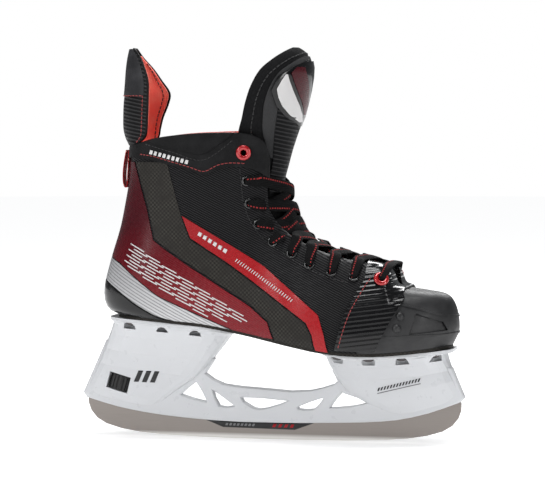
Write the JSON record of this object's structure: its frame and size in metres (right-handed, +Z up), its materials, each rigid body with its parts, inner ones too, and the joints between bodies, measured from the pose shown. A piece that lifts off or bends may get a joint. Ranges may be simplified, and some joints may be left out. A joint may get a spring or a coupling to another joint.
{
  "type": "ice hockey skate",
  "caption": "Right-foot ice hockey skate: laced composite boot with padded tongue and tendon guard, on a plastic blade holder with a removable steel runner.",
  "frame": {"origin": "on the ice line, below the middle of the runner's flat bottom edge", "axes": "+X towards the toe, +Y towards the inner side of the right foot, +Z up"},
  "size_m": [0.3234, 0.108, 0.3255],
  "materials": {
    "dark_composite": "semi-gloss woven composite",
    "toe_cap_plastic": "fine grained satin",
    "black_synthetic": "matte synthetic leather",
    "patent_black": "high gloss patent",
    "red_liner": "brushed lining",
    "red_webbing": "woven",
    "tongue_felt": "pressed felt",
    "lace_cotton": "flat woven lace",
    "footbed_foam": "moulded foam",
    "white_nylon": "satin moulded nylon",
    "runner_steel": "finely ground",
    "rivet_steel": "dark lacquer",
    "lock_steel": "plain",
    "black_enamel": "gloss enamel",
    "red_enamel": "gloss red enamel",
    "black_plastic": "ribbed"
  },
  "bodies": {
    "boot": {"ankle_liner": "red_liner", "blade_holder": "white_nylon", "collar_cuff": "black_synthetic", "eyelet_inner_01": "red_enamel", "eyelet_inner_02": "black_enamel", "eyelet_inner_03": "black_enamel", "eyelet_inner_04": "black_enamel", "eyelet_inner_05": "black_enamel", "eyelet_inner_06": "black_enamel", "eyelet_inner_07": "black_enamel", "eyelet_inner_08": "black_enamel", "eyelet_inner_09": "black_enamel", "eyelet_inner_10": "red_enamel", "eyelet_outer_01": "red_enamel", "eyelet_outer_02": "black_enamel", "eyelet_outer_03": "black_enamel", "eyelet_outer_04": "black_enamel", "eyelet_outer_05": "black_enamel", "eyelet_outer_06": "black_enamel", "eyelet_outer_07": "black_enamel", "eyelet_outer_08": "black_enamel", "eyelet_outer_09": "black_enamel", "eyelet_outer_10": "red_enamel", "footbed": "footbed_foam", "heel_pull_tab": "red_webbing", "lace": "lace_cotton", "outsole": "dark_composite", "quarter_shell": "dark_composite", "rivet_front_1": "rivet_steel", "rivet_front_2": "rivet_steel", "rivet_front_3": "rivet_steel", "rivet_front_4": "rivet_steel", "rivet_front_5": "rivet_steel", "rivet_front_6": "rivet_steel", "rivet_front_7": "rivet_steel", "rivet_front_8": "rivet_steel", "rivet_rear_1": "rivet_steel", "rivet_rear_2": "rivet_steel", "rivet_rear_3": "rivet_steel", "rivet_rear_4": "rivet_steel", "rivet_rear_5": "rivet_steel", "rivet_rear_6": "rivet_steel", "toe_cap": "toe_cap_plastic", "tongue_base": "tongue_felt", "vamp_band": "patent_black"},
    "guard": {"tendon_guard": "black_synthetic", "tendon_guard_liner": "red_liner"},
    "tongue_top": {"tongue_flap": "tongue_felt", "tongue_patch": "patent_black"},
    "wheel": {"lock_wheel": "black_plastic"},
    "bolt": {"lock_hook": "lock_steel"},
    "blade": {"runner": "runner_steel"}
  },
  "joints": [
    {"name": "guard_flex", "type": "hinge", "parent": "boot", "child": "guard", "pos_m": [-0.1222, 0, 0.2436], "axis": [0, 1, 0], "range_deg": [-22, 0], "stiffness_Nm_per_rad": 1.2},
    {"name": "tongue_fold", "type": "hinge", "parent": "boot", "child": "tongue_top", "pos_m": [0.021, 0, 0.2566], "axis": [0, 1, 0], "range_deg": [0, 65]},
    {"name": "lock_spin", "type": "hinge", "parent": "boot", "child": "wheel", "pos_m": [-0.1305, 0, 0.0455], "axis": [0.2756, 0, 0.9613], "range_deg": [0, 716.2]},
    {"name": "lock_draw", "type": "slide", "parent": "boot", "child": "bolt", "axis": [-0.2756, 0, -0.9613], "range_m": [0, 0.005]},
    {"name": "runner_drop", "type": "hinge", "parent": "boot", "child": "blade", "pos_m": [0.1225, 0, 0.047], "axis": [0, -1, 0], "range_deg": [0, 1.07]}
  ],
  "couplings": [
    {"joint": "lock_spin", "follows": "lock_draw", "rad_per_m": 2500},
    {"joint": "runner_drop", "follows": "lock_draw", "rad_per_m": 3.75}
  ]
}
